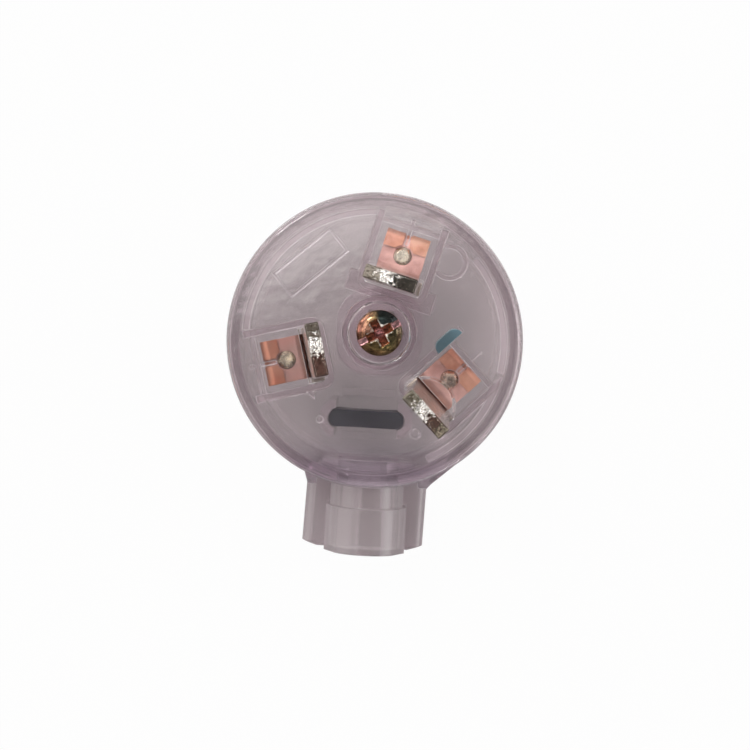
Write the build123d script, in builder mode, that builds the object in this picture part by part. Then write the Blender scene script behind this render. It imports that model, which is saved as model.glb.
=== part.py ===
from build123d import *
from math import atan, cos, degrees, radians, sin
import os

# A clear, rewireable three-pin flat-blade plug with a side cord entry.
# Lengths are in millimetres and angles in degrees. The part rests on the flat
# back of its cover at Z = 0, with the pins up and the cord entry along -Y.

# Cover, a cup that holds the back of the plug
cover_radius = 18.75  # outside, at its rim
cover_depth = 16.5
cover_taper = 0.7  # how much narrower the back is than the rim
cover_wall = 1.8
cover_floor = 2.0
cover_back_rounding = 2.2
cover_floor_rounding = 0.8
cover_rim_rounding = 0.3

# Base, the disc that carries the pins
rim_step = 0.45  # how far the cover stands out past the base
base_thickness = 3.0
base_edge_rounding = 0.5
ring_gap = 0.3  # between the locating ring and the cover
ring_wall = 0.75
ring_height = 2.6
ring_arcs = ((92, 86), (-11, 53), (-63, 46))  # start and sweep of each arc

# Spout, where the cord enters
spout_reach = 27.4  # from the centre to the spout's end
bore_radius = 3.9
bore_height = 9.7
bore_mouth = 0.6  # chamfer round the bore's mouth
gland_reach = 15.3  # from the centre to the inner end of the bore
gland_width = 11.4
flange_left = 8.25  # its half width at the end, left and right
flange_right = 7.6
flange_root_left = 7.85  # and where it meets the cup
flange_root_right = 7.85
flange_root = 14.5  # from the centre to its inner end, in the cup's wall
flange_corner = 2.0  # bevel at its end's two corners, across
flange_corner_rise = 0.6  # and along the spout
flange_bottom = 1.6
flange_top = 7.2
flange_rounding = 1.4
collar_length = 5.9
collar_half_width = 5.2
collar_shoulder = 10.9  # height where the sides start to slope in
collar_top_half_width = 3.6
collar_top = 14.1  # height of the two top corners
collar_crown = 15.7  # height of the crown between them
collar_step = 0.5  # how far the collar stands out past the neck
cheek_top = 15.9  # height of the two cheeks that fair the cup into the spout
cheek_inner = 6.4  # from the middle to their inner sides
cheek_left_x = 8.1
cheek_left_y = 16.6
cheek_left_foot_x = 7.5
cheek_left_foot_y = 18.5
cheek_right_x = 11.9
cheek_right_y = 14.4
cheek_right_corner_x = 8.15
cheek_right_corner_y = 17.75
cheek_right_foot_x = 7.6
cheek_right_foot_y = 18.4

# Pin positions, seen from the pin side with the cord entry down
pin_circle = 7.92
earth_circle = 10.31
active_angle = 75
neutral_angle = -165
earth_angle = -45

# Pins
blade_width = 6.35
blade_thickness = 1.63
pin_length = 17.06
earth_length = 19.94
tip_bevel = 0.18
corner_rounding = 0.15
shoulder_width = 6.95
shoulder_drop = 0.35  # from the base's inner face to the shoulders
tail_depth = 5.2
slot_clearance = 0.3
stake_radius = 0.7
stake_spread = 3.2
stake_depth = 3.7
stake_head = 0.15

# How far each pin leans, as the photograph shows them in their loose slots
active_lean_side = -1.2
active_lean_in = 0.0
neutral_lean_side = 2.2
neutral_lean_in = 4.2
earth_lean_side = -0.8
earth_lean_in = 1.8

# Terminals, one copper bracket staked to each pin
bracket_thickness = 0.9
bracket_top = -1.15  # height of its plate over the base's inner face
bracket_end = 5.6  # from the pin's middle
bracket_width = 5.6
bracket_bend = 0.3
screw_reach = 3.35  # from the pin's middle to the terminal screw
earth_terminal_out = 0.4  # how much further out the earth's terminal sits
earth_terminal_side = 0.4  # and how far it is moved along its pin
terminal_bore = 1.15
screw_play = 0.05

# Saddle clamps that hook round the brackets
clamp_sheet = 0.5
clamp_gap = 0.15  # from the bracket's end to the clamp's claws
clamp_top_gap = 0.05  # from the bracket's plate to the claws' tabs
clamp_drop = 1.7  # room for the wire under the bracket
clamp_start = 2.2
clamp_bend = 0.45
claw_length = 2.2
claw_split = 0.9
claw_notch_gap = 0.2  # round the screw's tip

# Terminal screws and their spring washers
terminal_head_radius = 1.6
terminal_head_height = 1.7
terminal_slot = 0.6
terminal_slot_depth = 0.8
terminal_tip_rise = 0.55  # past the bracket's plate
terminal_tip_bevel = 0.35
washer_radius = 1.5
washer_thickness = 0.6
washer_split = 0.5

# Pockets moulded in the base round the terminals
pocket_depth = 5.5
pocket_half_width = 3.75
pocket_behind = 1.15  # from the pin's middle to the pocket's inner end
pocket_wall = 0.85
pocket_reach = 8.1
earth_pocket_reach = 9.2
pocket_rounding = 0.8
claw_rib = 0.45
claw_rib_depth = 0.5  # clear of the bracket
window_depth = 2.2
window_sill = 0.7
window_start = 6.75
block_half_width = 5.7
block_depth = 4.6
block_end = 2.7
lens_half_width = 2.9
lens_bulge = 1.7
lens_depth = 1.3
lens_chamfer = 0.35

# Main screw and its captive nut, a little off the middle
screw_x = 0.55
screw_y = 1.05
counterbore_radius = 3.8
counterbore_depth = 3.9
counterbore_rounding = 0.3
base_boss_radius = 4.7
base_boss_floor = 4.8  # material under the screw's head
screw_hole_radius = 1.7
shank_radius = 1.45
head_radius = 2.95
head_height = 2.0
head_rounding = 1.1
recess_angle = 30
recess_slot = 0.85
recess_slot_depth = 0.9
recess_arm = 1.15
recess_arm_length = 3.5
recess_depth = 1.8
nut_boss_half_width = 5.6
nut_boss_rounding = 4.3
nut_boss_gap = 0.2  # between the cover's boss and the base's boss
nut_flats = 5.5
nut_thickness = 2.4
nut_recess = 3.4  # depth of the nut's pocket, from the cover's back
nut_play = 0.1
screw_past_nut = 0.4

# Cord grip: a bar that slides in two posts
bar_length = 9.6
bar_thickness = 2.2
bar_height = 5.0
bar_x = -0.55
bar_y = -10.05
bar_bottom = 8.4
bar_hollow_radius = 7.0
bar_hollow_rise = 0.9
bar_play = 0.15
post_outer = 5.9
post_inner = 3.95
post_wall = 1.0
post_rise = 0.6  # past the bar's top
post_chamfer = 1.1
grip_rib_width = 1.0
grip_rib_height = 1.3
grip_rib_pitch = 2.9
grip_rib_half_length = 3.4

# Marker strip in the wall of the earth pocket
marker_start = 4.95
marker_end = 8.9
marker_inner = 3.75
marker_width = 1.2
marker_height = 5.0
marker_rounding = 1.1
marker_play = 0.1

# Small moulded features on the base's inner face
panel_angle = 132
panel_circle = 12.75
panel_length = 9.3
panel_width = 3.9
panel_line = 0.35
panel_relief = 0.3
guide_x = 8.9
guide_y = 10.4
guide_radius = 2.3
guide_wall = 0.6
guide_height = 3.0
guide_opening = 3.0
mark_height = 0.4
mark_wall = 0.3
ring_mark_x = 5.75
ring_mark_y = -11.3
ring_mark_radius = 0.75
dot_mark_x = -6.35
dot_mark_y = -10.2
dot_mark_radius = 0.45
gusset_start = 0.9
gusset_length = 1.4
gusset_width = 1.1

os.makedirs("parts", exist_ok=True)

# Sizes that follow from the ones above
base_radius = cover_radius - rim_step
cover_draft = degrees(atan(cover_taper / cover_depth))
ring_radius = cover_radius - cover_wall - ring_gap
front = cover_depth + base_thickness
head_seat = front - counterbore_depth
boss_top = head_seat - base_boss_floor
bracket_bottom = bracket_top - bracket_thickness
clamp_plate = bracket_bottom - clamp_drop
clamp_out = bracket_end + clamp_gap + clamp_sheet
tab_bottom = bracket_top + clamp_top_gap
washer_top = clamp_plate - clamp_sheet
head_top = washer_top - washer_thickness


def seat_plane(circle, angle, outboard):
    """The base's inner face at a pin, with its X towards the terminal screw."""
    return Plane(
        origin=(circle * cos(radians(angle)), circle * sin(radians(angle)), cover_depth),
        x_dir=(cos(radians(outboard)), sin(radians(outboard)), 0),
        z_dir=(0, 0, 1),
    )


def leaning(seat, side, inward):
    """A seat plane tipped about its own X and Y axes."""
    return Plane(seat.location * Rotation(side, -inward, 0))


def moved_along(plane, side):
    """A contact's plane moved along its pin's width."""
    return Plane(plane.location * Pos(0, side, 0))


def across(plane):
    """The plane through a contact's pin, X along the blade's width and Y along the pin."""
    return Plane(origin=plane.origin, x_dir=plane.y_dir, z_dir=plane.x_dir)


def beside(plane):
    """The plane through a contact's middle, X away from the pin and Y along the pin."""
    return Plane(origin=plane.origin, x_dir=plane.x_dir, z_dir=-plane.y_dir)


seats = {
    "active": seat_plane(pin_circle, active_angle, active_angle),
    "neutral": seat_plane(pin_circle, neutral_angle, neutral_angle),
    "earth": seat_plane(earth_circle, earth_angle, earth_angle + 90),
}
contacts = {
    "active": leaning(seats["active"], active_lean_side, active_lean_in),
    "neutral": leaning(seats["neutral"], neutral_lean_side, neutral_lean_in),
    "earth": leaning(seats["earth"], earth_lean_side, earth_lean_in),
}
reaches = {"active": pin_length, "neutral": pin_length, "earth": earth_length}
pocket_reaches = {"active": pocket_reach, "neutral": pocket_reach, "earth": earth_pocket_reach}
terminal_outs = {"active": 0, "neutral": 0, "earth": earth_terminal_out}
terminal_sides = {"active": 0, "neutral": 0, "earth": earth_terminal_side}


# Cover: a tapered cup with the cord spout moulded on its side
def spout_outline(inset):
    """Half-round outline of the spout's tube on an XZ plane, drawn in from the collar's."""
    half = collar_half_width - inset
    top_half = collar_top_half_width - inset / 2
    with BuildSketch() as outline:
        with BuildLine():
            Polyline(
                (-top_half, collar_top - inset),
                (-half, collar_shoulder - inset / 2),
                (-half, flange_bottom + cover_wall),
                (half, flange_bottom + cover_wall),
                (half, collar_shoulder - inset / 2),
                (top_half, collar_top - inset),
            )
            ThreePointArc(
                (top_half, collar_top - inset),
                (0, collar_crown - inset),
                (-top_half, collar_top - inset),
            )
        make_face()
    return outline.sketch


spout_end = Plane.XZ.offset(spout_reach)
gland_end = Plane.XZ.offset(gland_reach)

# The flat flanges of the spout, from the cup's wall to the end
with BuildPart() as spout_flange:
    with BuildSketch(Plane.XY.offset(flange_bottom)):
        with BuildLine():
            Polyline(
                (-flange_root_left, -flange_root),
                (-flange_left, flange_corner_rise - spout_reach),
                (flange_corner - flange_left, -spout_reach),
                (flange_right - flange_corner, -spout_reach),
                (flange_right, flange_corner_rise - spout_reach),
                (flange_root_right, -flange_root),
                close=True,
            )
        make_face()
    extrude(amount=flange_top - flange_bottom)
    long_edges = spout_flange.edges().filter_by(
        lambda e: e.length > spout_reach - flange_root - 2 * flange_corner_rise
    )
    fillet(long_edges.filter_by(lambda e: abs(e.center().X) > cheek_inner), flange_rounding)

with BuildPart() as cover:
    with BuildSketch(Plane.XZ):
        with BuildLine():
            Polyline(
                (0, 0),
                (cover_radius - cover_taper, 0),
                (cover_radius, cover_depth),
                (0, cover_depth),
                close=True,
            )
        make_face()
    revolve(axis=Axis.Z)
    fillet(cover.edges().filter_by(GeomType.CIRCLE).group_by(Axis.Z)[0], cover_back_rounding)
    fillet(cover.edges().filter_by(GeomType.CIRCLE).group_by(Axis.Z)[-1], cover_rim_rounding)
    add(spout_flange.part)
    # Two cheeks that fair the cup into the spout, with the cup's draft
    with BuildSketch(Plane.XY.offset(cheek_top)):
        with BuildLine():
            Polyline(
                (-cheek_inner, -flange_root),
                (-cheek_left_x, -flange_root),
                (-cheek_left_x, -cheek_left_y),
                (-cheek_left_foot_x, -cheek_left_foot_y),
                (-cheek_inner, -cheek_left_foot_y),
                close=True,
            )
        make_face()
        with BuildLine():
            Polyline(
                (cheek_inner, -flange_root),
                (cheek_inner, -cheek_right_foot_y),
                (cheek_right_foot_x, -cheek_right_foot_y),
                (cheek_right_corner_x, -cheek_right_corner_y),
                (cheek_right_x, -cheek_right_y),
                close=True,
            )
        make_face()
    extrude(amount=flange_bottom - cheek_top, taper=cover_draft)
    # The tube over the flanges: a neck and the collar at its end
    with BuildSketch(spout_end):
        add(spout_outline(collar_step))
    extrude(amount=-(spout_reach - gland_reach))
    with BuildSketch(spout_end):
        add(spout_outline(0))
    extrude(amount=-collar_length)
    # The cup's hollow, with the wall kept even
    with BuildSketch(Plane.XZ):
        inner_back = cover_radius - cover_taper * (1 - cover_floor / cover_depth) - cover_wall
        with BuildLine():
            Polyline(
                (0, cover_floor),
                (inner_back, cover_floor),
                (cover_radius - cover_wall, cover_depth),
                (0, cover_depth),
                close=True,
            )
        make_face()
    revolve(axis=Axis.Z, mode=Mode.SUBTRACT)
    floor_edges = cover.edges().filter_by(GeomType.CIRCLE).filter_by(
        lambda e: abs(e.center().Z - cover_floor) < 0.01 and e.radius > inner_back - 0.1
    )
    fillet(floor_edges, cover_floor_rounding)
    # A flat wall inside the cup that lengthens the bore
    with BuildSketch(gland_end):
        with Locations((0, (cover_floor + collar_top) / 2)):
            Rectangle(gland_width, collar_top - cover_floor)
    extrude(amount=cover_radius - cover_taper - cover_wall / 2 - gland_reach)
    # The boss over the nut
    with BuildSketch(Plane.XY.offset(cover_floor / 2)):
        with Locations((screw_x, screw_y)):
            RectangleRounded(2 * nut_boss_half_width, 2 * nut_boss_half_width, nut_boss_rounding)
    extrude(amount=boss_top - nut_boss_gap - cover_floor / 2)
    # The two posts that guide the cord grip bar
    post_top = bar_bottom + bar_height + post_rise
    with BuildSketch(Plane.XY.offset(cover_floor / 2)) as posts:
        for side in (-1, 1):
            with Locations((bar_x + side * (post_outer + post_inner) / 2, bar_y)):
                Rectangle(post_outer - post_inner, bar_thickness + 2 * bar_play + 2 * post_wall)
        outer_corners = posts.vertices().group_by(Axis.X)
        chamfer(outer_corners[0] + outer_corners[-1], post_chamfer)
    extrude(amount=post_top - cover_floor / 2)
    with BuildSketch(Plane.XY.offset(bar_bottom)):
        with Locations((bar_x, bar_y)):
            SlotOverall(bar_length + 2 * bar_play, bar_thickness + 2 * bar_play)
    extrude(amount=post_top - bar_bottom, mode=Mode.SUBTRACT)
    # Ribs on the floor that the bar presses the cord on to
    with BuildSketch(Plane.XY.offset(cover_floor / 2)):
        for place in (-1, 0, 1):
            with Locations((bar_x, bar_y + place * grip_rib_pitch)):
                Rectangle(2 * grip_rib_half_length, grip_rib_width)
    extrude(amount=cover_floor / 2 + grip_rib_height)
    # The bore for the cord
    with BuildSketch(spout_end):
        with Locations((0, bore_height)):
            Circle(bore_radius)
    extrude(amount=-(spout_reach - gland_reach + 1), mode=Mode.SUBTRACT)
    mouth = cover.edges().filter_by(GeomType.CIRCLE).filter_by(
        lambda e: abs(e.radius - bore_radius) < 0.01
    )
    chamfer(mouth.sort_by(Axis.Y)[0], bore_mouth)
    # The nut's pocket in the back, and the hole for the screw
    with BuildSketch(Plane.XY):
        with Locations((screw_x, screw_y)):
            RegularPolygon(nut_flats / 2 + nut_play, 6, major_radius=False)
    extrude(amount=nut_recess, mode=Mode.SUBTRACT)
    with BuildSketch(Plane.XY.offset(nut_recess)):
        with Locations((screw_x, screw_y)):
            Circle(screw_hole_radius)
    extrude(amount=boss_top - nut_recess, mode=Mode.SUBTRACT)
cover.part.label = "cover"
export_step(cover.part, "parts/cover.step")


# Base: the disc, its locating ring, the pockets and the boss for the main screw
with BuildPart() as base:
    with BuildSketch(Plane.XY.offset(cover_depth)):
        Circle(base_radius)
    extrude(amount=base_thickness)
    fillet(base.edges().filter_by(GeomType.CIRCLE).group_by(Axis.Z)[-1], base_edge_rounding)
    # The boss for the main screw, with its counterbore and hole
    with BuildSketch(Plane.XY.offset(boss_top)):
        with Locations((screw_x, screw_y)):
            Circle(base_boss_radius)
    extrude(amount=cover_depth - boss_top)
    with BuildSketch(Plane.XY.offset(front)):
        with Locations((screw_x, screw_y)):
            Circle(counterbore_radius)
    extrude(amount=-counterbore_depth, mode=Mode.SUBTRACT)
    lip = base.edges().filter_by(GeomType.CIRCLE).filter_by(
        lambda e: abs(e.radius - counterbore_radius) < 0.01
    )
    fillet(lip.group_by(Axis.Z)[-1], counterbore_rounding)
    with BuildSketch(Plane.XY.offset(head_seat)):
        with Locations((screw_x, screw_y)):
            Circle(screw_hole_radius)
    extrude(amount=-base_boss_floor, mode=Mode.SUBTRACT)
    # Walls of the pockets
    for name, seat in seats.items():
        reach = pocket_reaches[name]
        outer_end = pocket_behind + pocket_wall
        with BuildSketch(seat) as walls:
            with Locations(((reach - outer_end) / 2, 0)):
                Rectangle(reach + outer_end, 2 * (pocket_half_width + pocket_wall))
            fillet(walls.vertices().group_by(Axis.X)[0], pocket_rounding + pocket_wall)
        extrude(amount=-pocket_depth)
    # A thick block behind the active pin
    with BuildSketch(seats["active"]):
        with Locations((-block_end / 2, 0)):
            Rectangle(block_end, 2 * block_half_width)
    extrude(amount=-block_depth)
    # Hollow the pockets and cut the slots for the pins
    for name, seat in seats.items():
        reach = pocket_reaches[name]
        with BuildSketch(seat) as hollow:
            with Locations(((reach - pocket_behind) / 2, 0)):
                Rectangle(reach + pocket_behind, 2 * pocket_half_width)
            fillet(hollow.vertices().group_by(Axis.X)[0], pocket_rounding)
        extrude(amount=-pocket_depth, mode=Mode.SUBTRACT)
        with BuildSketch(seat):
            Rectangle(
                blade_thickness + 2 * slot_clearance,
                blade_width + 2 * slot_clearance,
            )
        extrude(amount=base_thickness, mode=Mode.SUBTRACT)
        # A rib between the claws of the clamp, and a sill outside them
        with BuildSketch(seat):
            rib_start = screw_reach + terminal_outs[name] + terminal_bore + claw_notch_gap
            with Locations(((rib_start + window_start) / 2, terminal_sides[name])):
                Rectangle(window_start - rib_start, claw_rib)
        extrude(amount=-claw_rib_depth)
        with BuildSketch(seat):
            with Locations(((window_start + reach) / 2, terminal_sides[name])):
                Rectangle(reach - window_start, claw_rib)
            with Locations((window_start + window_sill / 2, 0)):
                Rectangle(window_sill, 2 * pocket_half_width)
        extrude(amount=-window_depth)
    # Nothing of the pockets reaches past the locating ring
    with BuildSketch(Plane.XY.offset(cover_depth)):
        Circle(base_radius + pocket_reach)
        Circle(ring_radius, mode=Mode.SUBTRACT)
    extrude(amount=-pocket_depth, mode=Mode.SUBTRACT)
    for start, sweep in ring_arcs:
        with BuildSketch(Plane.XZ.rotated((0, 0, start))):
            with Locations((ring_radius - ring_wall / 2, cover_depth - ring_height / 2)):
                Rectangle(ring_wall, ring_height)
        revolve(axis=Axis.Z, revolution_arc=sweep)
    # A lens-shaped recess in the face beside the earth pin
    lens_start = blade_thickness / 2 + slot_clearance
    with BuildSketch(seats["earth"].offset(base_thickness)):
        with BuildLine():
            ThreePointArc(
                (lens_start, -lens_half_width),
                (lens_start + lens_bulge, 0),
                (lens_start, lens_half_width),
            )
            Line((lens_start, lens_half_width), (lens_start, -lens_half_width))
        make_face()
    extrude(amount=-lens_depth, mode=Mode.SUBTRACT)
    lens_arc = base.edges().filter_by(GeomType.CIRCLE).filter_by(
        lambda e: abs(e.center().Z - front) < 0.01 and 0.1 < e.length - 2 * lens_half_width < 2
    )
    chamfer(lens_arc, lens_chamfer)
    # The gap in the earth pocket's wall that holds the marker strip
    with BuildSketch(seats["earth"]):
        with Locations(((marker_start + marker_end) / 2, marker_inner + marker_width / 2)):
            Rectangle(
                marker_end - marker_start + 2 * marker_play,
                marker_width + 2 * marker_play,
            )
    extrude(amount=-pocket_depth, mode=Mode.SUBTRACT)
    # A bare raised panel, as a thin line round a rectangle
    panel_seat = seat_plane(panel_circle, panel_angle, panel_angle)
    with BuildSketch(panel_seat):
        Rectangle(panel_width, panel_length)
        Rectangle(panel_width - 2 * panel_line, panel_length - 2 * panel_line, mode=Mode.SUBTRACT)
    extrude(amount=-panel_relief)
    # An open round guide for the wires
    with BuildSketch(Plane.XY.offset(cover_depth)):
        with Locations(Location((guide_x, guide_y, 0), (0, 0, active_angle))):
            Circle(guide_radius)
            Circle(guide_radius - guide_wall, mode=Mode.SUBTRACT)
        with Locations(Location((guide_x, guide_y, 0), (0, 0, active_angle))):
            with Locations((0, guide_radius)):
                Rectangle(guide_opening, 2 * guide_radius, mode=Mode.SUBTRACT)
    extrude(amount=-guide_height)
    # Ejector marks
    with BuildSketch(Plane.XY.offset(cover_depth)):
        with Locations((ring_mark_x, ring_mark_y)):
            Circle(ring_mark_radius)
            Circle(ring_mark_radius - mark_wall, mode=Mode.SUBTRACT)
        with Locations((dot_mark_x, dot_mark_y)):
            Circle(dot_mark_radius)
    extrude(amount=-mark_height)
    # A small gusset on the neutral pocket
    gusset_foot = pocket_half_width + pocket_wall / 2
    with BuildSketch(seats["neutral"]):
        with BuildLine():
            Polyline(
                (gusset_start, gusset_foot),
                (gusset_start + gusset_length, gusset_foot),
                (gusset_start, gusset_foot + pocket_wall / 2 + gusset_width),
                close=True,
            )
        make_face()
    extrude(amount=-pocket_depth / 2)
base.part.label = "base"
export_step(base.part, "parts/base.step")


# The three contacts, each a pin with a bracket, a clamp, a screw and a washer
for name, contact in contacts.items():
    reach = base_thickness + reaches[name]
    out = terminal_outs[name]
    screw_out = screw_reach + out
    terminal = moved_along(contact, terminal_sides[name])

    # Pin: a flat blade with shoulders, bevelled at its tip
    with BuildPart() as pin:
        with BuildSketch(across(contact)) as outline:
            with Locations((0, (reach - tail_depth) / 2)):
                Rectangle(blade_width, reach + tail_depth)
            with Locations((0, -(shoulder_drop + tail_depth) / 2)):
                Rectangle(shoulder_width, tail_depth - shoulder_drop)
        extrude(amount=blade_thickness / 2, both=True)
        along = Axis(contact.origin, contact.z_dir)
        chamfer(pin.faces().sort_by(along)[-1].edges(), tip_bevel)
        fillet(pin.edges().filter_by(along).sort_by(along)[-4:], corner_rounding)
        with BuildSketch(across(contact).offset(blade_thickness / 2)):
            with Locations((-stake_spread / 2, -stake_depth), (stake_spread / 2, -stake_depth)):
                Circle(stake_radius)
        extrude(amount=bracket_thickness + stake_head)
    pin.part.label = name + "_pin"
    export_step(pin.part, "parts/" + name + "_pin.step")

    # Bracket: a bent strip staked to the pin, tapped for the terminal screw
    inner_face = blade_thickness / 2
    with BuildPart() as bracket:
        with BuildSketch(beside(terminal)) as profile:
            with BuildLine():
                Polyline(
                    (inner_face, -tail_depth),
                    (inner_face + bracket_thickness, -tail_depth),
                    (inner_face + bracket_thickness, bracket_bottom),
                    (bracket_end + out, bracket_bottom),
                    (bracket_end + out, bracket_top),
                    (inner_face, bracket_top),
                    close=True,
                )
            make_face()
            bend = profile.vertices().sort_by_distance((inner_face, bracket_top, 0))
            fillet(bend[0], bracket_bend + bracket_thickness)
            inner_bend = profile.vertices().sort_by_distance(
                (inner_face + bracket_thickness, bracket_bottom, 0)
            )
            fillet(inner_bend[0], bracket_bend)
        extrude(amount=bracket_width / 2, both=True)
        with BuildSketch(terminal.offset(bracket_top)):
            with Locations((screw_out, 0)):
                Circle(terminal_bore)
        extrude(amount=-bracket_thickness, mode=Mode.SUBTRACT)
        with BuildSketch(across(contact).offset(inner_face)):
            with Locations((-stake_spread / 2, -stake_depth), (stake_spread / 2, -stake_depth)):
                Circle(stake_radius)
        extrude(amount=bracket_thickness, mode=Mode.SUBTRACT)
    bracket.part.label = name + "_bracket"
    export_step(bracket.part, "parts/" + name + "_bracket.step")

    # Clamp: a saddle under the bracket with two claws hooked over its end
    with BuildPart() as clamp:
        with BuildSketch(beside(terminal)) as profile:
            with BuildLine():
                Polyline(
                    (clamp_start, clamp_plate),
                    (clamp_out + out - clamp_sheet, clamp_plate),
                    (clamp_out + out - clamp_sheet, tab_bottom),
                    (clamp_out + out - claw_length, tab_bottom),
                    (clamp_out + out - claw_length, tab_bottom + clamp_sheet),
                    (clamp_out + out, tab_bottom + clamp_sheet),
                    (clamp_out + out, clamp_plate - clamp_sheet),
                    (clamp_start, clamp_plate - clamp_sheet),
                    close=True,
                )
            make_face()
            outer_corners = profile.vertices().group_by(Axis.X)[-1]
            fillet(outer_corners, clamp_bend + clamp_sheet)
        extrude(amount=bracket_width / 2, both=True)
        with BuildSketch(terminal.offset(clamp_plate)):
            with Locations((clamp_out + out, 0)):
                Rectangle(2 * claw_length + 2 * clamp_sheet, claw_split)
        extrude(amount=tab_bottom + clamp_sheet - clamp_plate, mode=Mode.SUBTRACT)
        with BuildSketch(terminal.offset(tab_bottom)):
            with Locations((screw_out, 0)):
                Circle(terminal_bore + claw_notch_gap)
        extrude(amount=clamp_sheet, mode=Mode.SUBTRACT)
        with BuildSketch(terminal.offset(clamp_plate)):
            with Locations((screw_out, 0)):
                Circle(terminal_bore + screw_play)
        extrude(amount=-clamp_sheet, mode=Mode.SUBTRACT)
    clamp.part.label = name + "_clamp"
    export_step(clamp.part, "parts/" + name + "_clamp.step")

    # Spring washer: a split ring under the screw's head
    with BuildPart() as washer:
        with BuildSketch(terminal.offset(washer_top)):
            with Locations((screw_out, 0)):
                Circle(washer_radius)
                Circle(terminal_bore + screw_play, mode=Mode.SUBTRACT)
            with Locations((screw_out + washer_radius, 0)):
                Rectangle(2 * washer_radius, washer_split, mode=Mode.SUBTRACT)
        extrude(amount=-washer_thickness)
    washer.part.label = name + "_spring_washer"
    export_step(washer.part, "parts/" + name + "_spring_washer.step")

    # Terminal screw: a slotted cheese head below, its tip up through the bracket
    with BuildPart() as screw:
        with BuildSketch(terminal.offset(head_top)):
            with Locations((screw_out, 0)):
                Circle(terminal_head_radius)
        extrude(amount=-terminal_head_height)
        with BuildSketch(terminal.offset(head_top)):
            with Locations((screw_out, 0)):
                Circle(terminal_bore - screw_play)
        extrude(amount=bracket_top + terminal_tip_rise - head_top)
        along = Axis(contact.origin, contact.z_dir)
        chamfer(screw.faces().sort_by(along)[-1].edges(), terminal_tip_bevel)
        with BuildSketch(terminal.offset(head_top - terminal_head_height)):
            with Locations((screw_out, 0)):
                Rectangle(3 * terminal_head_radius, terminal_slot)
        extrude(amount=terminal_slot_depth, mode=Mode.SUBTRACT)
    screw.part.label = name + "_terminal_screw"
    export_step(screw.part, "parts/" + name + "_terminal_screw.step")


# Main screw: a domed head with a slot and a cross, and a plain shank
screw_seat = Plane(origin=(screw_x, screw_y, head_seat), x_dir=(1, 0, 0), z_dir=(0, 0, 1))
screw_end = nut_recess - nut_thickness - screw_past_nut
with BuildPart() as main_screw:
    with BuildSketch(screw_seat):
        Circle(head_radius)
    extrude(amount=head_height)
    fillet(main_screw.edges().group_by(Axis.Z)[-1], head_rounding)
    with BuildSketch(screw_seat):
        Circle(shank_radius)
    extrude(amount=screw_end - head_seat)
    with BuildSketch(screw_seat.offset(head_height)):
        with Locations(Location((0, 0, 0), (0, 0, recess_angle))):
            Rectangle(3 * head_radius, recess_slot)
    extrude(amount=-recess_slot_depth, mode=Mode.SUBTRACT)
    with BuildSketch(screw_seat.offset(head_height)):
        with Locations(Location((0, 0, 0), (0, 0, recess_angle))):
            Rectangle(recess_arm_length, recess_arm)
            Rectangle(recess_arm, recess_arm_length)
    extrude(amount=-recess_depth, mode=Mode.SUBTRACT)
main_screw.part.label = "main_screw"
export_step(main_screw.part, "parts/main_screw.step")

# Captive nut in the cover's boss
with BuildPart() as main_nut:
    with BuildSketch(Plane.XY.offset(nut_recess)):
        with Locations((screw_x, screw_y)):
            RegularPolygon(nut_flats / 2, 6, major_radius=False)
            Circle(shank_radius + screw_play, mode=Mode.SUBTRACT)
    extrude(amount=-nut_thickness)
main_nut.part.label = "main_nut"
export_step(main_nut.part, "parts/main_nut.step")

# Cord grip bar, hollowed underneath to the round of the cord
with BuildPart() as cord_grip_bar:
    with BuildSketch(Plane.XY.offset(bar_bottom)):
        with Locations((bar_x, bar_y)):
            SlotOverall(bar_length, bar_thickness)
    extrude(amount=bar_height)
    with BuildSketch(Plane.XZ.offset(-bar_y)):
        with Locations((bar_x, bar_bottom + bar_hollow_rise - bar_hollow_radius)):
            Circle(bar_hollow_radius)
    extrude(amount=bar_thickness, both=True, mode=Mode.SUBTRACT)
cord_grip_bar.part.label = "cord_grip_bar"
export_step(cord_grip_bar.part, "parts/cord_grip_bar.step")

# Marker strip beside the earth terminal, rounded at its outer corner
with BuildPart() as earth_marker:
    with BuildSketch(seats["earth"]) as strip:
        with Locations(((marker_start + marker_end) / 2, marker_inner + marker_width / 2)):
            Rectangle(marker_end - marker_start, marker_width)
        fillet(strip.vertices().group_by(Axis.Y)[-1], marker_rounding)
    extrude(amount=-marker_height)
earth_marker.part.label = "earth_marker"
export_step(earth_marker.part, "parts/earth_marker.step")
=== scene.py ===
from math import radians

import bpy
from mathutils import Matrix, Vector

# The looks of a clear round plug, seen from its pin side. Each CAD node gets a material, and a
# floor, a room, lamps and a camera come round them. Lengths are in metres and colours in linear
# light. A noise is its scale, which is about the number of its cells in a metre, then its detail
# and its roughness. Stops are positions on a scale from 0 to 1, each with a colour.

NONE = (0.0, 0.0, 0.0)
FULL = (1.0, 1.0, 1.0)

# Camera, over the pins and a little off the middle, turned by degrees
CAMERA_PLACE = (0.00283, 0.00525, 0.26282)
CAMERA_TURN = (-2.21, 0.71, 3.11)
CAMERA_LENS = 93.7
CAMERA_SENSOR = 36.0
CAMERA_SHIFT = 0.0013
CAMERA_RANGE = (0.01, 10.0)

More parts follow.
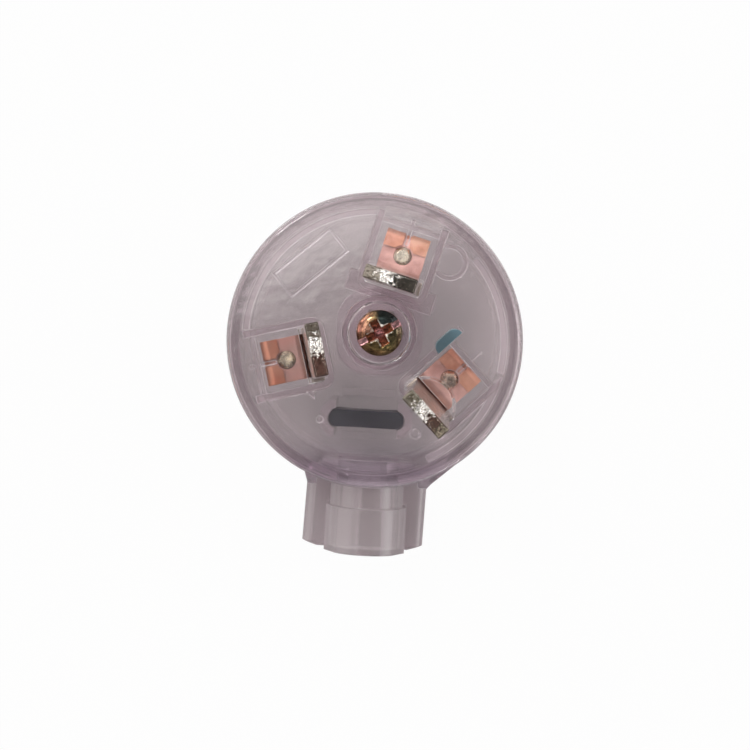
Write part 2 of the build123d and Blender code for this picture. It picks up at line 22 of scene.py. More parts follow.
# Clear plastic. Along -Y the tint goes from the body's to the rim's, and then to the spout's,
# darker each time: painted shade towards the bottom and the spout
PLASTIC_IOR = 1.57
PAINTED_SHADE_START = -0.0118
PAINTED_SHADE_END = -0.0198
RIM_FROM = 0.55
RIM_TO = 0.85
DEEP_TINT = (0.74, 0.50, 0.63)
DEPTH_DENSITY = 50.0
PLASTICS = {
    "cover": {
        "tint": (0.85, 0.838, 0.83),
        "rim_painted_shade": (0.61, 0.59, 0.615),
        "far_painted_shade": (0.555, 0.508, 0.517),
        "shade_tint": (0.60, 0.58, 0.575),
        "clarity": 0.86,
        "edge_clarity": 0.45,
        "haze": 0.095,
        "wave": 0.00005,
    },
    "base": {
        "tint": (0.975, 0.973, 0.968),
        "rim_painted_shade": (0.785, 0.745, 0.79),
        "far_painted_shade": (0.785, 0.745, 0.79),
        "shade_tint": (0.92, 0.90, 0.90),
        "clarity": 0.985,
        "edge_clarity": 0.12,
        "haze": 0.02,
        "wave": 0.00003,
    },
}
WAVE_NOISE = (300.0, 2.0)
BEVEL_SAMPLES = 6
EDGE_SOFTNESS = 0.00018
EDGE_TURNS = (0.02, 0.16)
EDGE_GAP_NOISE = (260.0, 2.0)
EDGE_GAP_STOPS = ((0.36, (0.60, 0.60, 0.60)), (0.50, NONE))
SPOUT_FROM = 0.80
SPOUT_CLARITY = 0.82

# The base's ring and the cover's floor behind it, made less clear than the plastic beside them
# so that they show as a lighter band: a painted highlight
RING_INSIDE = 0.01585
RING_OUTSIDE = 0.01670
RING_TOP = 0.01645
RING_CLARITY = 0.72
RING_STOPS = ((0.0, NONE), (0.01, FULL), (0.99, FULL), (1.0, NONE))

# The cover's rim, and how far it sinks to leave the plane of the base's underside
RIM_HEIGHT = 0.0165
SEAT_GAP = 0.00003

# Copper and zinc: colours, and then surfaces, with the limits of their roughness, the noise
# scale of their grain, and the height of the grain and of the long waves under it. The patches
# of colour and the waves have noises of their own, with a share of the grain's scale
METAL_EDGE = 0.00008
GRAIN_DETAIL = (4.0, 0.6)
PATCH_SHARE = 0.3
PATCH_DETAIL = (3.0, 0.6)
PATCH_SPAN = (0.36, 0.58)
SWELL_SHARE = 0.2
SWELL_DETAIL = 1.0
COPPER = (0.90, 0.58, 0.50)
COPPER_DULL = (0.55, 0.30, 0.25)
BRIGHT_COPPER = (0.95, 0.52, 0.35)
BRIGHT_COPPER_DULL = (0.58, 0.22, 0.13)
# Painted light: brighter and darker copies of one copper, one for each contact
COPPER_PAINTED_LIGHT = {"active": 1.10, "neutral": 0.54, "earth": 0.96}
# Painted highlight: the active contact's strip is less metallic, so that it shows brighter
STRIP_METALLIC = {"active": 0.30, "neutral": 1.0, "earth": 1.0}
ZINC = (0.56, 0.54, 0.43)
ZINC_DARK = (0.16, 0.15, 0.10)
# Painted light: lighter and darker copies of one zinc, one pair of tones for each terminal screw
SCREW_TONES = {
    "active": ((0.80, 0.77, 0.60), (0.26, 0.26, 0.20)),
    "neutral": ((0.86, 0.78, 0.56), (0.42, 0.38, 0.29)),
    "earth": ((0.98, 0.76, 0.58), (0.32, 0.26, 0.20)),
}
STRIP_SURFACE = {"roughness": (0.34, 0.50), "scale": 700.0, "relief": 0.00004, "waves": 0.0001}
CLAMP_SURFACE = {"roughness": (0.26, 0.40), "scale": 700.0, "relief": 0.00004, "waves": 0.0002}
ZINC_SURFACE = {"roughness": (0.16, 0.40), "scale": 2200.0, "relief": 0.00005, "waves": 0.0002}

# Nickel plate. A sheared tip goes along its width from satin to bright and to dark. The zones
# are the shear's, and their bright band is a painted highlight and the dark one a painted
# reflection
NICKEL = (0.74, 0.67, 0.60)
NICKEL_SATIN = (0.52, 0.45, 0.39)
DRAWN_NOISE = (2400.0, 3.0, 0.6)
DRAWN_STRETCH = (1.0, 1.0, 0.06)
DRAWN_STOPS = ((0.30, NICKEL_SATIN), (0.65, NICKEL))
DRAWN_ROUGHNESS = (0.16, 0.30)
DRAWN_RELIEF = 0.000008
TIP_PAINTED_HIGHLIGHT = (0.95, 0.93, 0.89)
TIP_SPECK = (0.30, 0.27, 0.24)
TIP_REACH = 0.0032
TIP_HEIGHT = 0.030
TIP_FACING = 0.6
TIP_RAGGED = 0.20
TIP_RAGGED_NOISE = (2300.0, 4.0, 0.7)
TIP_RAGGED_SPAN = (0.3, 0.7)
TIP_SPECK_NOISE = (4200.0, 3.0, 0.7)
TIP_SPECK_STOPS = ((0.38, TIP_SPECK), (0.56, FULL))
TIP_FLECK_NOISE = (4700.0, 2.0, 0.5)
TIP_FLECK_STOPS = ((0.61, NONE), (0.67, (0.60, 0.60, 0.60)))
TIP_EDGE_TURNS = (0.04, 0.15)
TIP_SATIN_STOPS = (
    (0.24, (0.40, 0.40, 0.40)),
    (0.34, (0.08, 0.08, 0.08)),
    (0.56, (0.08, 0.08, 0.08)),
    (0.70, (0.16, 0.16, 0.16)),
)
TIP_SWELL_NOISE = (900.0, 2.0)
TIP_TEAR_NOISE = (5200.0, 2.0, 0.6)
TIP_RELIEF = 0.00014
# Painted light: the tips' tones differ by contact, lighter and darker copies of one nickel
TIPS = {
    "active": {
        "tip": (0.00165, 0.00776, 0.0),
        "width_axis": (0.966, -0.259, 0.0),
        "satin_painted_tone": (0.34, 0.30, 0.25),
        "painted_dark_tone": (0.045, 0.040, 0.034),
        "end_tone": (0.060, 0.052, 0.044),
    },
    "neutral": {
        "tip": (-0.00644, -0.00094, 0.0),
        "width_axis": (0.259, -0.966, 0.0),
        "satin_painted_tone": (0.12, 0.10, 0.08),
        "painted_dark_tone": (0.10, 0.052, 0.042),
        "end_tone": (0.10, 0.052, 0.042),
    },
    "earth": {
        "tip": (0.00656, -0.00757, 0.0),
        "width_axis": (0.707, -0.707, 0.0),
        "satin_painted_tone": (0.20, 0.18, 0.14),
        "painted_dark_tone": (0.12, 0.075, 0.06),
        "end_tone": (0.24, 0.21, 0.155),
    },
}

# The main screw's yellow zinc. Its film changes with the height from the cross's floor to the
# top of the head, and on the head it also shimmers round the axis, with a painted dark
# reflection on one side. The cross's reds change with the distance from the axis, with painted
# shade in the recess. Rubbed metal with a painted highlight shows on the edges of the cross and
# on the four corners of the head between its arms
SCREW_CENTRE = (0.00055, 0.00105, 0.0)
CROSS_FLOOR = 0.0158
HEAD_TOP = 0.0176
FILM_STOPS = (
    (0.48, (0.88, 0.42, 0.48)),
    (0.53, (0.95, 0.62, 0.54)),
    (0.58, (0.85, 0.70, 0.45)),
)
# Painted reflection: the dark blue stops paint a dark reflection on one side of the head
SHIMMER_AND_REFLECTION_STOPS = (
    (0.00, (0.42, 0.26, 0.26)),
    (0.05, (0.16, 0.10, 0.09)),
    (0.14, (0.22, 0.18, 0.12)),
    (0.27, (0.28, 0.24, 0.15)),
    (0.38, (0.22, 0.22, 0.15)),
    (0.48, (0.20, 0.19, 0.15)),
    (0.56, (0.20, 0.22, 0.22)),
    (0.60, (0.08, 0.12, 0.18)),
    (0.76, (0.06, 0.10, 0.15)),
    (0.80, (0.35, 0.30, 0.22)),
    (0.86, (0.50, 0.36, 0.32)),
    (0.95, (0.68, 0.42, 0.44)),
)
SUNK_STOPS = ((0.46, FULL), (0.475, NONE))
ON_HEAD_STOPS = ((0.56, NONE), (0.60, FULL))
CROSS_HEART = 0.0002
CROSS_REACH = 0.0017
# Painted shade: the cross is painted dark red-brown, the shade of its recess over the film's
# reds
CROSS_SHADE_STOPS = ((0.0, (1.0, 0.42, 0.42)), (0.35, (0.45, 0.12, 0.08)), (1.0, (0.30, 0.10, 0.04)))
CROSS_AXES = {"X": (0.866, 0.5, 0.0), "Y": (-0.5, 0.866, 0.0)}
CROSS_HALF = 0.00050
MOTTLE_NOISE = (1700.0, 3.0, 0.65)
MOTTLE_STOPS = ((0.36, (0.30, 0.28, 0.26)), (0.52, FULL))
# Rubbed metal and a painted highlight: near white and less metallic on the edges and corners
RUBBED_HIGHLIGHT = (1.0, 0.97, 0.89)
SCREW_EDGE = 0.00022
RUB_HIGHLIGHT_TURNS = (0.03, 0.12)
RUB_HIGHLIGHT_REACH_STOPS = ((0.96, FULL), (1.0, NONE))
RUB_HIGHLIGHT_PATCH_NOISE = (800.0, 2.0)
RUB_HIGHLIGHT_PATCH_STOPS = ((0.42, (0.25, 0.25, 0.25)), (0.52, FULL))
RUB_HIGHLIGHT_METALLIC_STOPS = ((0.0, (0.85, 0.85, 0.85)), (1.0, (0.15, 0.15, 0.15)))
CORNER_RUB_HIGHLIGHT = 0.00050
CORNER_CORE = 0.8
SCREW_GRAIN_NOISE = (1500.0, 3.0)
SCREW_RELIEF = 0.00002

# Solid plastics
NAVY = (0.028, 0.031, 0.042)
NAVY_ROUGHNESS = 0.42
TEAL = (0.49, 0.79, 0.85)
TEAL_ROUGHNESS = 0.38
SOLID_IOR = 1.5
SOLID_GRAIN_NOISE = (1600.0, 3.0)
SOLID_RELIEF = 0.00001

# Floor: how much of it shines white to the camera, and through or in the plug
FLOOR_TO_CAMERA = 0.97
FLOOR_TO_PLUG = 0.20
FLOOR_GREY = (0.52, 0.50, 0.50, 1.0)
FLOOR_HALF = 1.5
FLOOR_HEIGHT = -0.0001

# Room: bright round the plug and dimmer above it, dark right over it, with a window behind it
# to the left, a dim near side, and a bright pane at the back left and on the right
HEIGHT_STOPS = (
    (0.00, (1.50, 1.48, 1.47)),
    (0.25, (1.35, 1.33, 1.32)),
    (0.55, (0.95, 0.93, 0.92)),
    (1.00, (0.80, 0.79, 0.79)),
)
OVERHEAD_AIM = (0.12, 0.14, 0.983)
OVERHEAD_STOPS = ((0.86, NONE), (0.91, FULL))
OVERHEAD_TONE = (0.07, 0.07, 0.08, 1.0)
WINDOW_AIM = (-0.40, 0.92, 0.0)
WINDOW_STOPS = ((0.015, NONE), (0.045, FULL), (0.45, FULL), (0.60, NONE))
WINDOW_SIDE_STOPS = ((0.02, FULL), (0.10, NONE))
WINDOW_TONE = (2.0, 1.97, 1.94, 1.0)
NEAR_AIM = (0.0, -1.0, 0.0)
NEAR_STOPS = ((0.05, NONE), (0.45, FULL))
NEAR_TONE = (0.45, 0.43, 0.44, 1.0)
PANES = (((-0.59, 0.78, 0.20), 4.0), ((0.96, 0.10, 0.25), 3.2))
PANE_STOPS = ((0.86, NONE), (0.90, FULL))
ROOM_PATCH_SCALE = 2.2
ROOM_PATCH_DETAIL = 1.0
ROOM_PATCH_STOPS = ((0.38, (0.55, 0.54, 0.54)), (0.60, FULL))

# Enough light bounces to see through every wall of the plug
MOST_BOUNCES = 24
CLEAR_BOUNCES = 20

# Lamps: place, size and power
LAMP_AIM = (0.0, -0.003, 0.015)
LAMPS = {
    "key": ((-0.28, 0.34, 0.62), 0.14, 1.15),
    "fill": ((0.45, 0.10, 0.50), 0.20, 0.45),
    "low": ((0.10, -0.60, 0.35), 0.15, 0.1),
}

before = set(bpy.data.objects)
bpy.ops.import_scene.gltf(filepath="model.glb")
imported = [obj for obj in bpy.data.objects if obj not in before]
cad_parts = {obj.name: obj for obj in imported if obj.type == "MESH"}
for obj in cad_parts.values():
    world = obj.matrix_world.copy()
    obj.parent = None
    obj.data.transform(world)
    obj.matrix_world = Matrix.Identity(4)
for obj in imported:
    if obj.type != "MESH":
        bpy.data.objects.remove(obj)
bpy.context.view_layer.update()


# Node helpers. A value that one takes is a plain value or another node's output
def feed(tree, value, socket):
    """Gives an input a plain value, or links it to an output."""
    if isinstance(value, bpy.types.NodeSocket):
        tree.links.new(value, socket)
    else:
        socket.default_value = value


def add(tree, kind, **values):
    """A node with its properties and its inputs set by name."""
    node = tree.nodes.new(kind)
    for key, value in values.items():
        if key in node.bl_rna.properties:
            setattr(node, key, value)
        else:
            feed(tree, value, node.inputs[key.replace("_", " ")])
    return node


def new_material(name):
    """A material, its empty node tree, and the output node in it."""
    made = bpy.data.materials.new(name)
    made.use_nodes = True
    made.node_tree.nodes.clear()
    return made, made.node_tree, add(made.node_tree, "ShaderNodeOutputMaterial")


def opaque(colour):
    """A colour with its alpha."""
    return (*colour, 1.0)


def coordinates(tree, kind="Object"):
    return add(tree, "ShaderNodeTexCoord").outputs[kind]


def part_of(tree, vector, axis):
    """A vector's part along an axis."""
    return add(tree, "ShaderNodeSeparateXYZ", Vector=vector).outputs[axis]


def calculate(tree, operation, *values):
    """A number worked out from numbers."""
    node = add(tree, "ShaderNodeMath", operation=operation)
    for value, socket in zip(values, node.inputs):
        feed(tree, value, socket)
    return node.outputs["Value"]


def combine(tree, operation, *vectors, out="Vector"):
    """A vector worked out from vectors, or a number where out is Value."""
    node = add(tree, "ShaderNodeVectorMath", operation=operation)
    for vector, socket in zip(vectors, node.inputs):
        feed(tree, vector, socket)
    return node.outputs[out]


def axis_distance(tree, place):
    """How far a place is from the Z axis."""
    flat = combine(tree, "MULTIPLY", place, (1.0, 1.0, 0.0))
    return combine(tree, "LENGTH", flat, out="Value")


def spread(tree, value, start, end, low=0.0, high=1.0, **settings):
    """A value that runs from low to high while another one runs from start to end."""
    node = add(tree, "ShaderNodeMapRange", Value=value, **settings)
    limits = {"From Min": start, "From Max": end, "To Min": low, "To Max": high}
    for name, limit in limits.items():
        node.inputs[name].default_value = limit
    return node.outputs["Result"]


def uneven(tree, cloud, limits):
    """Roughness between two limits, smoother where a noise is higher."""
    smooth, rough = limits
    return spread(tree, cloud, 0.0, 1.0, rough, smooth)


def noise(tree, scale, detail=3.0, roughness=0.55, stretch=FULL):
    """Noise fixed to the object."""
    place = add(tree, "ShaderNodeMapping", Vector=coordinates(tree), Scale=stretch)
    cloud = add(
        tree,
        "ShaderNodeTexNoise",
        Vector=place.outputs["Vector"],
        Scale=scale,
        Detail=detail,
        Roughness=roughness,
    )
    return cloud.outputs["Fac"]


def ramp(tree, value, stops):
    """A colour for each value, between the stops' colours."""
    node = add(tree, "ShaderNodeValToRGB", Fac=value)
    elements = node.color_ramp.elements
    while len(elements) < len(stops):
        elements.new(0.5)
    for element, (position, colour) in zip(elements, stops):
        element.position = position
        element.color = opaque(colour)
    return node.outputs["Color"]


def mix(tree, kind, share, first, second):
    """Two colours mixed by a share."""
    node = add(tree, "ShaderNodeMix", data_type="RGBA", blend_type=kind)
    feed(tree, share, node.inputs[0])
    feed(tree, first, node.inputs[6])
    feed(tree, second, node.inputs[7])
    return node.outputs[2]


def mix_shaders(tree, share, first, second):
    node = add(tree, "ShaderNodeMixShader", Fac=share)
    tree.links.new(first, node.inputs[1])
    tree.links.new(second, node.inputs[2])
    return node.outputs["Shader"]


def bump(tree, height, distance, normal=None):
    """Normals that follow a height, on top of other normals."""
    node = add(tree, "ShaderNodeBump", Height=height, Distance=distance, Strength=1.0)
    if normal is not None:
        tree.links.new(normal, node.inputs["Normal"])
    return node.outputs["Normal"]


def soft_edges(tree, radius):
    """Normals rounded at the edges."""
    node = add(tree, "ShaderNodeBevel", samples=BEVEL_SAMPLES, Radius=radius)
    return node.outputs["Normal"]


def edge_turn(tree, rounded):
    """How far rounding turns the surface: 0 on the flats, about 0.3 on a sharp edge."""
    flat = add(tree, "ShaderNodeNewGeometry").outputs["True Normal"]
    agreement = combine(tree, "DOT_PRODUCT", rounded, flat, out="Value")
    return calculate(tree, "SUBTRACT", 1.0, agreement)


# Where a shader's input is linked, its plain value stays too, for an export that drops the link
def clear_plastic(
    name, tint, rim_painted_shade, far_painted_shade, shade_tint, clarity, edge_clarity, haze, wave
):
    """Tinted clear plastic, darkened along -Y by painted shade, and less clear at its edges,
    ring and spout, the edges and ring so that they show lighter, as painted highlights. Lamps
    shine through it.
    """
    made, tree, output = new_material(name)
    place = coordinates(tree)
    along = spread(
        tree,
        part_of(tree, place, "Y"),
        PAINTED_SHADE_START,
        PAINTED_SHADE_END,
        interpolation_type="SMOOTHSTEP",
    )
    # Painted shade: the tint darkens along -Y, towards the rim's bottom and the spout
    tint_and_painted_shade = ((0.0, tint), (RIM_FROM, rim_painted_shade), (RIM_TO, rim_painted_shade), (1.0, far_painted_shade))

    rounded = soft_edges(tree, EDGE_SOFTNESS)
    # Painted highlight: the plastic is less clear along its edges, so that they show as lighter
    # lines
    edges = ramp(
        tree,
        edge_turn(tree, rounded),
        ((EDGE_TURNS[0], (clarity,) * 3), (EDGE_TURNS[1], (edge_clarity,) * 3)),
    )
    gaps = ramp(tree, noise(tree, *EDGE_GAP_NOISE), EDGE_GAP_STOPS)
    clear = mix(tree, "MIX", gaps, edges, opaque((clarity,) * 3))
    spout = ramp(tree, along, ((SPOUT_FROM, FULL), (1.0, (SPOUT_CLARITY,) * 3)))
    clear = mix(tree, "MULTIPLY", 1.0, clear, spout)
    # Painted highlight: the ring is made less clear, so that it shows as a lighter band
    in_ring = spread(tree, axis_distance(tree, place), RING_INSIDE, RING_OUTSIDE)
    in_ring = ramp(tree, in_ring, RING_STOPS)
    below = calculate(tree, "LESS_THAN", part_of(tree, place, "Z"), RING_TOP)
    in_ring = calculate(tree, "MULTIPLY", in_ring, below)
    clear = mix(tree, "MIX", in_ring, clear, opaque((RING_CLARITY,) * 3))

    glass = add(
        tree,
        "ShaderNodeBsdfPrincipled",
        Base_Color=ramp(tree, along, tint_and_painted_shade),
        IOR=PLASTIC_IOR,
        Roughness=haze,
        Transmission_Weight=clarity,
        Normal=bump(tree, noise(tree, *WAVE_NOISE), wave, rounded),
    )
    tree.links.new(clear, glass.inputs["Transmission Weight"])
    shade = add(tree, "ShaderNodeBsdfTransparent", Color=opaque(shade_tint))
    surface = mix_shaders(
        tree,
        add(tree, "ShaderNodeLightPath").outputs["Is Shadow Ray"],
        glass.outputs["BSDF"],
        shade.outputs["BSDF"],
    )
    depth = add(
        tree, "ShaderNodeVolumeAbsorption", Density=DEPTH_DENSITY, Color=opaque(DEEP_TINT)
    )
    tree.links.new(surface, output.inputs["Surface"])
    tree.links.new(depth.outputs["Volume"], output.inputs["Volume"])
    return made


def metal(name, bright, dull, roughness, scale, relief, waves, metallic=1.0):
    """Metal with uneven colour, polish and surface, and long waves under them."""
    made, tree, output = new_material(name)
    grain = noise(tree, scale, *GRAIN_DETAIL)
    patches = noise(tree, PATCH_SHARE * scale, *PATCH_DETAIL)
    swell = noise(tree, SWELL_SHARE * scale, SWELL_DETAIL)
    rounded = soft_edges(tree, METAL_EDGE)
    body = add(
        tree,
        "ShaderNodeBsdfPrincipled",
        Base_Color=ramp(tree, patches, ((PATCH_SPAN[0], dull), (PATCH_SPAN[1], bright))),
        Metallic=metallic,
        Roughness=roughness[0],
        Normal=bump(tree, grain, relief, bump(tree, swell, waves, rounded)),
    )
    tree.links.new(uneven(tree, grain, roughness), body.inputs["Roughness"])
    tree.links.new(body.outputs["BSDF"], output.inputs["Surface"])
    return made


def nickel_plate(name, tip, width_axis, satin_painted_tone, painted_dark_tone, end_tone):
    """Nickel plate, drawn and satin along a blade, with a sheared and torn tip, whose bands
    carry a painted highlight and a painted dark reflection.
    """
    made, tree, output = new_material(name)
    drawn = noise(tree, *DRAWN_NOISE, DRAWN_STRETCH)
    rounded = soft_edges(tree, METAL_EDGE)
    sides = add(
        tree,
        "ShaderNodeBsdfPrincipled",
        Base_Color=ramp(tree, drawn, DRAWN_STOPS),
        Metallic=1.0,
        Roughness=0.2,
        Normal=bump(tree, drawn, DRAWN_RELIEF, rounded),
    )
    tree.links.new(uneven(tree, drawn, DRAWN_ROUGHNESS), sides.inputs["Roughness"])

    place = coordinates(tree)
    from_tip = combine(tree, "SUBTRACT", place, tip)
    across = combine(tree, "DOT_PRODUCT", from_tip, width_axis, out="Value")
    ragged = noise(tree, *TIP_RAGGED_NOISE)
    ragged = spread(tree, ragged, *TIP_RAGGED_SPAN, -TIP_RAGGED, TIP_RAGGED)
    torn = calculate(tree, "ADD", spread(tree, across, -TIP_REACH, TIP_REACH), ragged)
    # Painted reflection across the tip: satin, then a painted highlight band, then a painted
    # dark reflection
    tip_painted_reflection = ramp(
        tree,
        torn,
        (
            (0.06, satin_painted_tone),
            (0.26, satin_painted_tone),
            (0.31, TIP_PAINTED_HIGHLIGHT),
            (0.53, TIP_PAINTED_HIGHLIGHT),
            (0.58, painted_dark_tone),
            (0.84, painted_dark_tone),
            (0.94, end_tone),
        ),
    )
    specks = ramp(tree, noise(tree, *TIP_SPECK_NOISE), TIP_SPECK_STOPS)
    colour = mix(tree, "MULTIPLY", 1.0, tip_painted_reflection, specks)
    flecks = ramp(tree, noise(tree, *TIP_FLECK_NOISE), TIP_FLECK_STOPS)
    colour = mix(tree, "MIX", flecks, colour, opaque(NICKEL_SATIN))
    tip_rounded = soft_edges(tree, METAL_EDGE)
    # Partly burnish and partly a painted highlight: the tip's edges go back to plain nickel
    burnish_and_highlight = ramp(
        tree,
        edge_turn(tree, tip_rounded),
        ((TIP_EDGE_TURNS[0], NONE), (TIP_EDGE_TURNS[1], FULL)),
    )
    swell = bump(tree, noise(tree, *TIP_SWELL_NOISE), TIP_RELIEF, tip_rounded)
    tears = bump(tree, noise(tree, *TIP_TEAR_NOISE), TIP_RELIEF, swell)
    tips = add(
        tree,
        "ShaderNodeBsdfPrincipled",
        Base_Color=mix(tree, "MIX", burnish_and_highlight, colour, opaque(NICKEL)),
        Metallic=1.0,
        Roughness=0.1,
        Normal=tears,
    )
    tree.links.new(ramp(tree, torn, TIP_SATIN_STOPS), tips.inputs["Roughness"])

    facing = part_of(tree, coordinates(tree, "Normal"), "Z")
    facing = calculate(tree, "GREATER_THAN", facing, TIP_FACING)
    outside = calculate(tree, "GREATER_THAN", part_of(tree, place, "Z"), TIP_HEIGHT)
    at_tip = calculate(tree, "MULTIPLY", facing, outside)
    surface = mix_shaders(tree, at_tip, sides.outputs["BSDF"], tips.outputs["BSDF"])
    tree.links.new(surface, output.inputs["Surface"])
    return made


def yellow_zinc(name):
    """Zinc plate with a yellow, pink and green film, rubbed off at the edges of the cross, with
    painted shade in the cross, a painted dark reflection on the head, and painted highlights on
    the rubbed edges.
    """
    made, tree, output = new_material(name)
    place = coordinates(tree)
    level = spread(tree, part_of(tree, place, "Z"), CROSS_FLOOR, HEAD_TOP)
    centred = combine(tree, "SUBTRACT", place, SCREW_CENTRE)
    reach = spread(tree, axis_distance(tree, centred), CROSS_HEART, CROSS_REACH)
    on_head = ramp(tree, level, ON_HEAD_STOPS)

    # Colour: the film with its shimmer and a painted dark reflection on the head, the cross's
    # reds with painted shade, and a mottle over both
    turn = add(tree, "ShaderNodeTexGradient", gradient_type="RADIAL", Vector=centred)
    shimmer_and_reflection = ramp(tree, turn.outputs["Fac"], SHIMMER_AND_REFLECTION_STOPS)
    colour = mix(tree, "MULTIPLY", on_head, ramp(tree, level, FILM_STOPS), shimmer_and_reflection)
    cross = ramp(tree, reach, CROSS_SHADE_STOPS)
    colour = mix(tree, "MIX", ramp(tree, level, SUNK_STOPS), colour, cross)
    mottle = ramp(tree, noise(tree, *MOTTLE_NOISE), MOTTLE_STOPS)
    colour = mix(tree, "MULTIPLY", 1.0, colour, mottle)

    # Wear with a painted highlight: the cross's edges, and the four corners between its arms,
    # folded onto one
    rounded = soft_edges(tree, SCREW_EDGE)
    edges = ramp(tree, edge_turn(tree, rounded), ((RUB_HIGHLIGHT_TURNS[0], NONE), (RUB_HIGHLIGHT_TURNS[1], FULL)))
    edges = calculate(tree, "MULTIPLY", edges, ramp(tree, reach, RUB_HIGHLIGHT_REACH_STOPS))
    folded = add(tree, "ShaderNodeCombineXYZ")
    for axis, direction in CROSS_AXES.items():
        along = combine(tree, "DOT_PRODUCT", centred, direction, out="Value")
        tree.links.new(calculate(tree, "ABSOLUTE", along), folded.inputs[axis])
    corner_place = (CROSS_HALF, CROSS_HALF, 0.0)
    corner = combine(
        tree, "DISTANCE", folded.outputs["Vector"], corner_place, out="Value"
    )
    corner = spread(tree, corner, CORNER_RUB_HIGHLIGHT, CORNER_CORE * CORNER_RUB_HIGHLIGHT)
    corner = calculate(tree, "MULTIPLY", corner, on_head)
    rub_highlight = calculate(tree, "MAXIMUM", edges, corner)
    patchy = ramp(tree, noise(tree, *RUB_HIGHLIGHT_PATCH_NOISE), RUB_HIGHLIGHT_PATCH_STOPS)
    rub_highlight = calculate(tree, "MULTIPLY", rub_highlight, patchy)

    body = add(
        tree,
        "ShaderNodeBsdfPrincipled",
        Base_Color=mix(tree, "MIX", rub_highlight, colour, opaque(RUBBED_HIGHLIGHT)),
        Metallic=0.8,
        Roughness=0.12,
        Normal=bump(tree, noise(tree, *SCREW_GRAIN_NOISE), SCREW_RELIEF, rounded),
    )
    tree.links.new(ramp(tree, rub_highlight, RUB_HIGHLIGHT_METALLIC_STOPS), body.inputs["Metallic"])
    tree.links.new(body.outputs["BSDF"], output.inputs["Surface"])
    return made


def solid_plastic(name, colour, roughness):
    """Moulded plastic with a fine grain."""
    made, tree, output = new_material(name)
    body = add(
        tree,
        "ShaderNodeBsdfPrincipled",
        Base_Color=opaque(colour),
        Roughness=roughness,
        IOR=SOLID_IOR,
        Normal=bump(tree, noise(tree, *SOLID_GRAIN_NOISE), SOLID_RELIEF),
    )
    tree.links.new(body.outputs["BSDF"], output.inputs["Surface"])
    return made


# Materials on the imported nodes
finishes = {
    "main_screw": yellow_zinc("yellow_zinc_plate"),
    "cord_grip_bar": solid_plastic("navy_moulding", NAVY, NAVY_ROUGHNESS),
    "earth_marker": solid_plastic("teal_moulding", TEAL, TEAL_ROUGHNESS),
    "main_nut": metal("zinc_plate", ZINC, ZINC_DARK, **ZINC_SURFACE),
}
for node, settings in PLASTICS.items():
    finishes[node] = clear_plastic(node + "_plastic", **settings)
for contact, copper_painted_light in COPPER_PAINTED_LIGHT.items():
    finishes[contact + "_pin"] = nickel_plate(contact + "_nickel_plate", **TIPS[contact])
    finishes[contact + "_bracket"] = metal(
        contact + "_copper_strip",
        [channel * copper_painted_light for channel in COPPER],
        COPPER_DULL,
        metallic=STRIP_METALLIC[contact],
        **STRIP_SURFACE,
    )
    finishes[contact + "_clamp"] = metal(
        contact + "_copper_clamp",
        [channel * copper_painted_light for channel in BRIGHT_COPPER],
        BRIGHT_COPPER_DULL,
        **CLAMP_SURFACE,
    )
    finishes[contact + "_terminal_screw"] = metal(
        contact + "_screw_plate", *SCREW_TONES[contact], **ZINC_SURFACE
    )
    finishes[contact + "_spring_washer"] = finishes["main_nut"]
for node, finish in finishes.items():
    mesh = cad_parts[node].data
    mesh.materials.clear()
    mesh.materials.append(finish)

# The cover's rim and the base's underside lie in one plane, where glass rays go astray, so a
# modifier lets the rim's top sink by a hair
seat = bpy.data.node_groups.new("seat_gap", "GeometryNodeTree")
for direction in ("INPUT", "OUTPUT"):
    seat.interface.new_socket("Geometry", in_out=direction, socket_type="NodeSocketGeometry")
place = add(seat, "GeometryNodeInputPosition").outputs["Position"]
at_top = add(seat, "FunctionNodeCompare", operation="GREATER_THAN")
feed(seat, part_of(seat, place, "Z"), at_top.inputs[0])
feed(seat, RIM_HEIGHT - SEAT_GAP, at_top.inputs[1])
sink = add(
    seat,
    "GeometryNodeSetPosition",
    Geometry=add(seat, "NodeGroupInput").outputs["Geometry"],
    Selection=at_top.outputs["Result"],
    Offset=(0.0, 0.0, -SEAT_GAP),
)
add(seat, "NodeGroupOutput", Geometry=sink.outputs["Geometry"])
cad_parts["cover"].modifiers.new("seat_gap", "NODES").node_group = seat

# Floor, white to the camera and in part through the plastic, with the plug's shadow kept
floor_mesh = bpy.data.meshes.new("floor")
floor_mesh.from_pydata(
    [
        (-FLOOR_HALF, -FLOOR_HALF, FLOOR_HEIGHT),
        (FLOOR_HALF, -FLOOR_HALF, FLOOR_HEIGHT),
        (FLOOR_HALF, FLOOR_HALF, FLOOR_HEIGHT),
        (-FLOOR_HALF, FLOOR_HALF, FLOOR_HEIGHT),
    ],
    [],
    [(0, 1, 2, 3)],
)
floor = bpy.data.objects.new("floor", floor_mesh)
bpy.context.scene.collection.objects.link(floor)
floor_paint, paint, paint_output = new_material("white_floor")
ray = add(paint, "ShaderNodeLightPath").outputs
to_plug = calculate(paint, "MAXIMUM", ray["Is Transmission Ray"], ray["Is Glossy Ray"])
to_plug = calculate(paint, "MULTIPLY", to_plug, FLOOR_TO_PLUG)
floor_surface = mix_shaders(
    paint,
    calculate(paint, "MULTIPLY_ADD", ray["Is Camera Ray"], FLOOR_TO_CAMERA, to_plug),
    add(paint, "ShaderNodeBsdfDiffuse", Color=FLOOR_GREY).outputs["BSDF"],
    add(paint, "ShaderNodeEmission", Strength=1.0, Color=opaque(FULL)).outputs["Emission"],
)
paint.links.new(floor_surface, paint_output.inputs["Surface"])
floor_mesh.materials.append(floor_paint)

# Room
world = bpy.data.worlds.new("room")
bpy.context.scene.world = world
world.use_nodes = True
room = world.node_tree
room.nodes.clear()
look = coordinates(room, "Generated")


def towards(aim, stops):
    """A colour for each direction of the room, by how far it points towards an aim."""
    return ramp(room, combine(room, "DOT_PRODUCT", look, aim, out="Value"), stops)


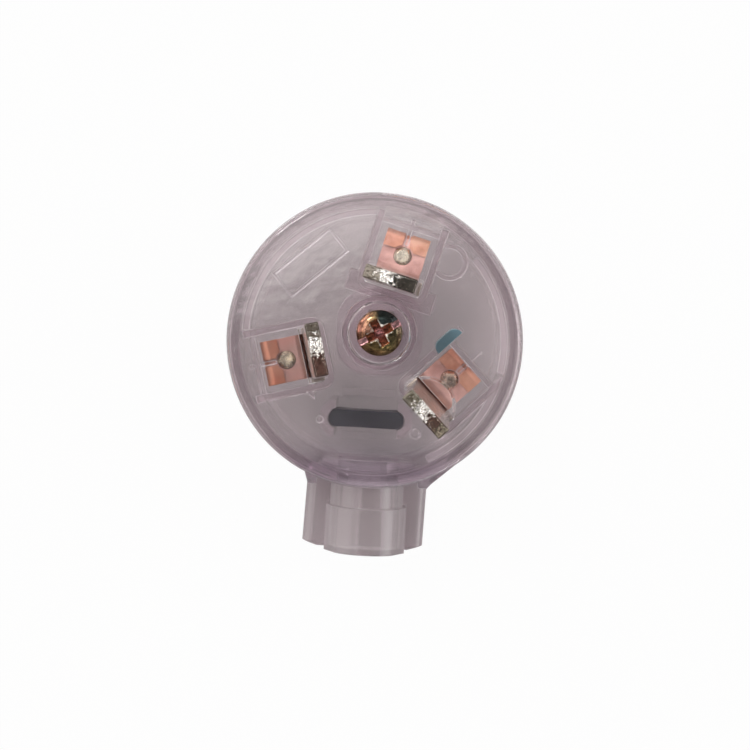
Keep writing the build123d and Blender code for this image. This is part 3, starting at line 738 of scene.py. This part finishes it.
light = ramp(room, part_of(room, look, "Z"), HEIGHT_STOPS)
light = mix(room, "MIX", towards(OVERHEAD_AIM, OVERHEAD_STOPS), light, OVERHEAD_TONE)
window_side = ramp(room, part_of(room, look, "X"), WINDOW_SIDE_STOPS)
window = mix(room, "MULTIPLY", 1.0, towards(WINDOW_AIM, WINDOW_STOPS), window_side)
light = mix(room, "MIX", window, light, WINDOW_TONE)
light = mix(room, "MIX", towards(NEAR_AIM, NEAR_STOPS), light, NEAR_TONE)
for aim, brightness in PANES:
    pane = towards(aim, PANE_STOPS)
    light = mix(room, "MIX", pane, light, opaque((brightness,) * 3))
patches = add(
    room,
    "ShaderNodeTexNoise",
    Vector=look,
    Scale=ROOM_PATCH_SCALE,
    Detail=ROOM_PATCH_DETAIL,
)
patches = ramp(room, patches.outputs["Fac"], ROOM_PATCH_STOPS)
sky = add(
    room,
    "ShaderNodeBackground",
    Color=mix(room, "MULTIPLY", 1.0, light, patches),
    Strength=1.0,
)
add(room, "ShaderNodeOutputWorld", Surface=sky.outputs["Background"])

# Lamps
for name, (place, size, power) in LAMPS.items():
    data = bpy.data.lights.new(name, "AREA")
    data.shape = "DISK"
    data.size = size
    data.energy = power
    lamp = bpy.data.objects.new(name, data)
    bpy.context.scene.collection.objects.link(lamp)
    lamp.location = place
    lamp.rotation_mode = "QUATERNION"
    lamp.rotation_quaternion = (Vector(LAMP_AIM) - Vector(place)).to_track_quat("-Z", "Y")

# Camera
camera_data = bpy.data.cameras.new("camera")
camera_data.sensor_width = CAMERA_SENSOR
camera_data.lens = CAMERA_LENS
camera_data.shift_y = CAMERA_SHIFT
camera_data.clip_start, camera_data.clip_end = CAMERA_RANGE
camera = bpy.data.objects.new("camera", camera_data)
bpy.context.scene.collection.objects.link(camera)
camera.location = CAMERA_PLACE
camera.rotation_euler = [radians(angle) for angle in CAMERA_TURN]
bpy.context.scene.camera = camera

bpy.context.scene.view_settings.view_transform = "Standard"
bpy.context.scene.cycles.max_bounces = MOST_BOUNCES
bpy.context.scene.cycles.transmission_bounces = CLEAR_BOUNCES
bpy.context.scene.cycles.transparent_max_bounces = MOST_BOUNCES
